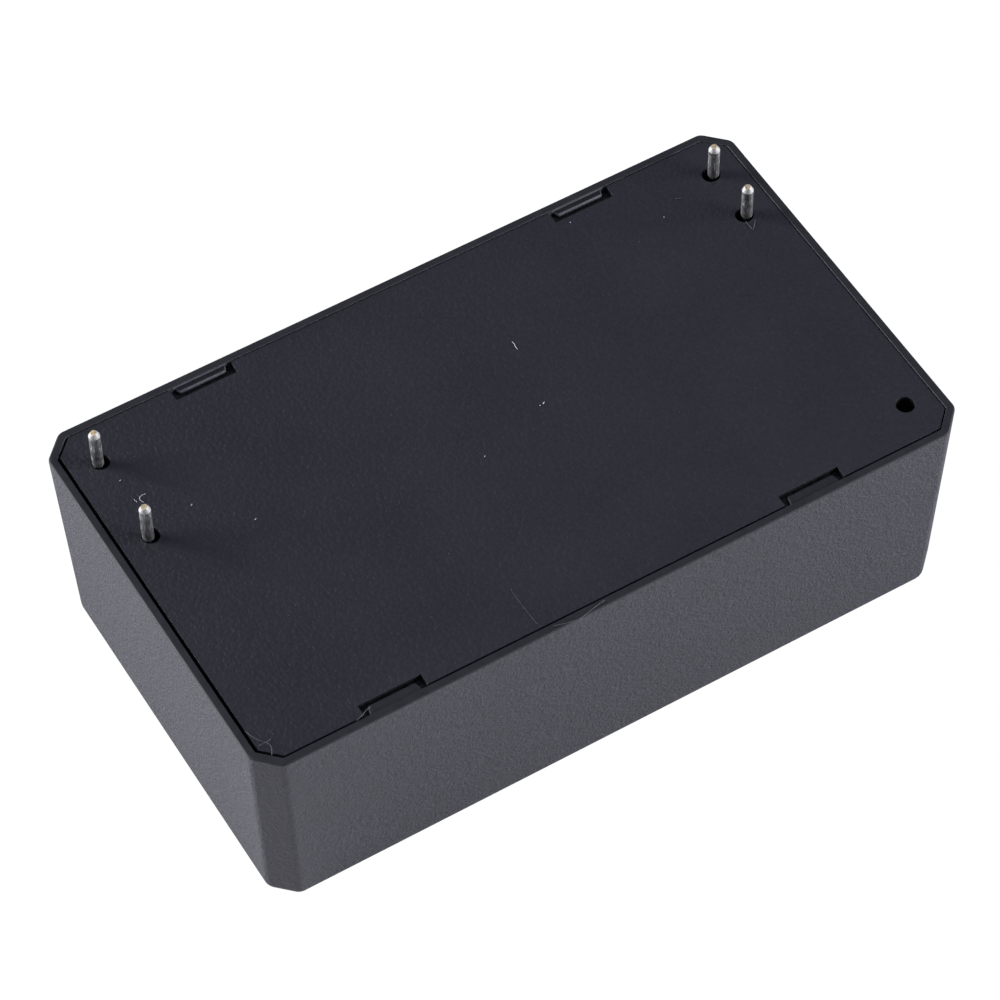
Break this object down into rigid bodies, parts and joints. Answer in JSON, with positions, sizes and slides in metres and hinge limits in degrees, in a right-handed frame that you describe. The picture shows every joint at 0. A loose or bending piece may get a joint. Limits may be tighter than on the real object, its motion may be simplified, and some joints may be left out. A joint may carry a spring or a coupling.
{
  "type": "board-mount power supply",
  "caption": "Encapsulated board-mount mains power module: plastic case with chamfered corners, snap-in base plate, two input pins and two output pins.",
  "frame": {"origin": "middle of the closed face of the case, the face the module lies on in the picture", "axes": "+Z towards the pin side, +X along the long side with the input pins at -X and the output pins at +X, +Y towards the long side that both pin pairs stand nearer to"},
  "size_m": [0.087, 0.05, 0.0338],
  "materials": {
    "case_plastic": "fine spark-eroded grain, smooth rim",
    "plate_plastic": "fine leather grain",
    "tinned_pin": "dull tin plate, bare brass at the cut end",
    "board_laminate": "glass laminate with solder mask",
    "ferrite": "matte sintered ferrite",
    "copper_winding": "enamelled copper wire",
    "winding_tape": "polyester tape",
    "bobbin_plastic": "phenolic moulding",
    "package_epoxy": "moulded epoxy",
    "heatsink_aluminium": "plain rolled sheet",
    "capacitor_sleeve": "shrunk sleeve over an aluminium can",
    "film_box": "moulded box",
    "blue_coating": "dipped ceramic coating",
    "green_coating": "dipped coating",
    "fuse_body": "moulded cap",
    "thermal_pad": "soft silicone pad"
  },
  "bodies": {
    "root": {"case": "case_plastic", "base_plate": "plate_plastic", "pin_line": "tinned_pin", "pin_neutral": "tinned_pin", "pin_positive": "tinned_pin", "pin_negative": "tinned_pin", "circuit_board": "board_laminate", "fuse": "fuse_body", "varistor": "blue_coating", "inrush_thermistor": "green_coating", "film_capacitor": "film_box", "choke_carrier": "bobbin_plastic", "choke_core": "ferrite", "choke_winding_line": "copper_winding", "choke_winding_neutral": "copper_winding", "bridge_rectifier": "package_epoxy", "bulk_capacitor": "capacitor_sleeve", "transformer_core_input_half": "ferrite", "transformer_core_output_half": "ferrite", "transformer_bobbin": "bobbin_plastic", "transformer_winding": "winding_tape", "thermal_pad": "thermal_pad", "switching_transistor": "package_epoxy", "transistor_heatsink": "heatsink_aluminium", "output_rectifier": "package_epoxy", "rectifier_heatsink": "heatsink_aluminium", "safety_capacitor": "blue_coating", "optocoupler": "package_epoxy", "output_capacitor_a": "capacitor_sleeve", "output_capacitor_b": "capacitor_sleeve", "output_inductor_core": "ferrite", "output_inductor_winding": "copper_winding", "controller": "package_epoxy"}
  },
  "joints": []
}
